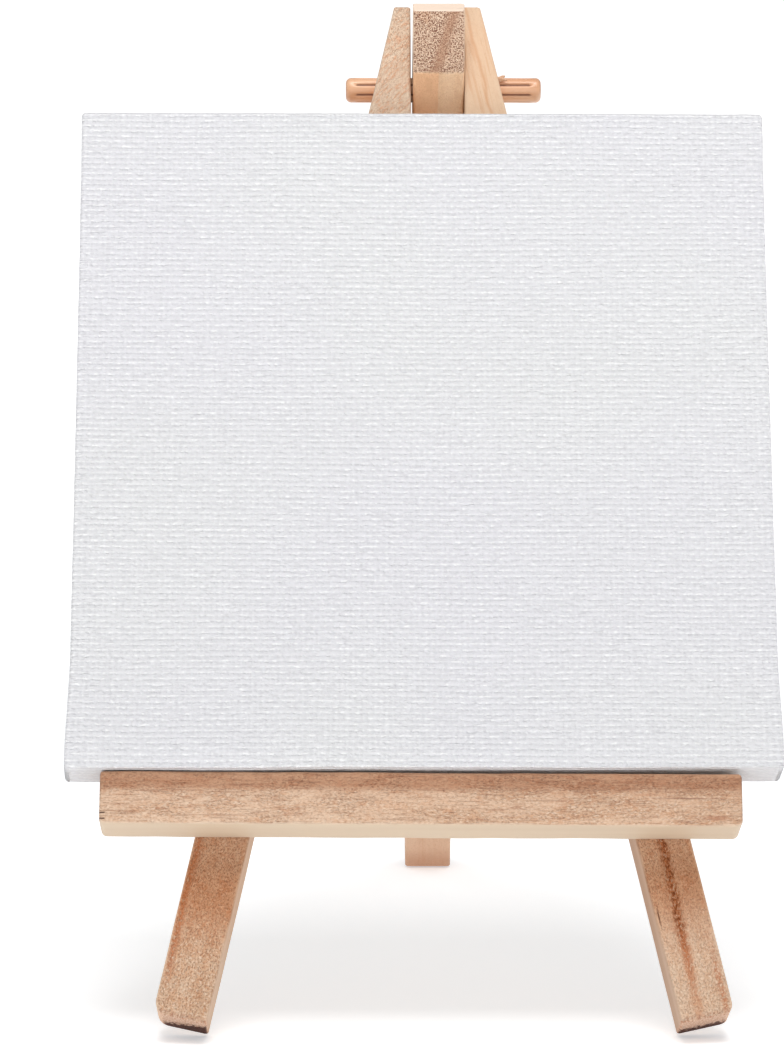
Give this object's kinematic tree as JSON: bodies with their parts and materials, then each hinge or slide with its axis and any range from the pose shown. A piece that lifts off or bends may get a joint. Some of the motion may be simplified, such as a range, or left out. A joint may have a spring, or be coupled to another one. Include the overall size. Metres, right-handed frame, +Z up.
{
  "type": "tabletop easel",
  "caption": "Small wooden tripod easel for a table, its back leg swinging on a dowel, with a front ledge that holds a small stretched canvas.",
  "frame": {"origin": "on the table, under the middle of the overall box", "axes": "+Z up, +X to the right as seen from the front, +Y to the back, where the back leg stands"},
  "size_m": [0.1018, 0.1431, 0.1476],
  "materials": {
    "front_leg_wood": "bare, sawn and lightly sanded",
    "back_leg_wood": "bare, with a slanted end-grain top",
    "ledge_wood": "bare, sawn",
    "dowel_wood": "bare, fluted",
    "bar_wood": "bare pine",
    "primed_canvas": "white primer on a plain weave",
    "steel": "bright wire"
  },
  "bodies": {
    "frame": {"front_leg_left": "front_leg_wood", "front_leg_right": "front_leg_wood", "hinge_dowel": "dowel_wood", "ledge": "ledge_wood", "ledge_brads": "steel"},
    "back_leg": {"back_leg": "back_leg_wood"},
    "canvas": {"stretcher_top": "bar_wood", "stretcher_bottom": "bar_wood", "stretcher_left": "bar_wood", "stretcher_right": "bar_wood", "canvas_cloth": "primed_canvas", "cloth_staples": "steel", "corner_staples": "steel"}
  },
  "joints": [
    {"name": "back_leg_hinge", "type": "hinge", "parent": "frame", "child": "back_leg", "pos_m": [0.0026, -0.00737, 0.13434], "axis": [1, 0, 0], "range_deg": [-54, 60]},
    {"name": "canvas_lift_off", "type": "slide", "parent": "frame", "child": "canvas", "axis": [0, -0.91, 0.4147], "range_m": [0, 0.06]}
  ]
}
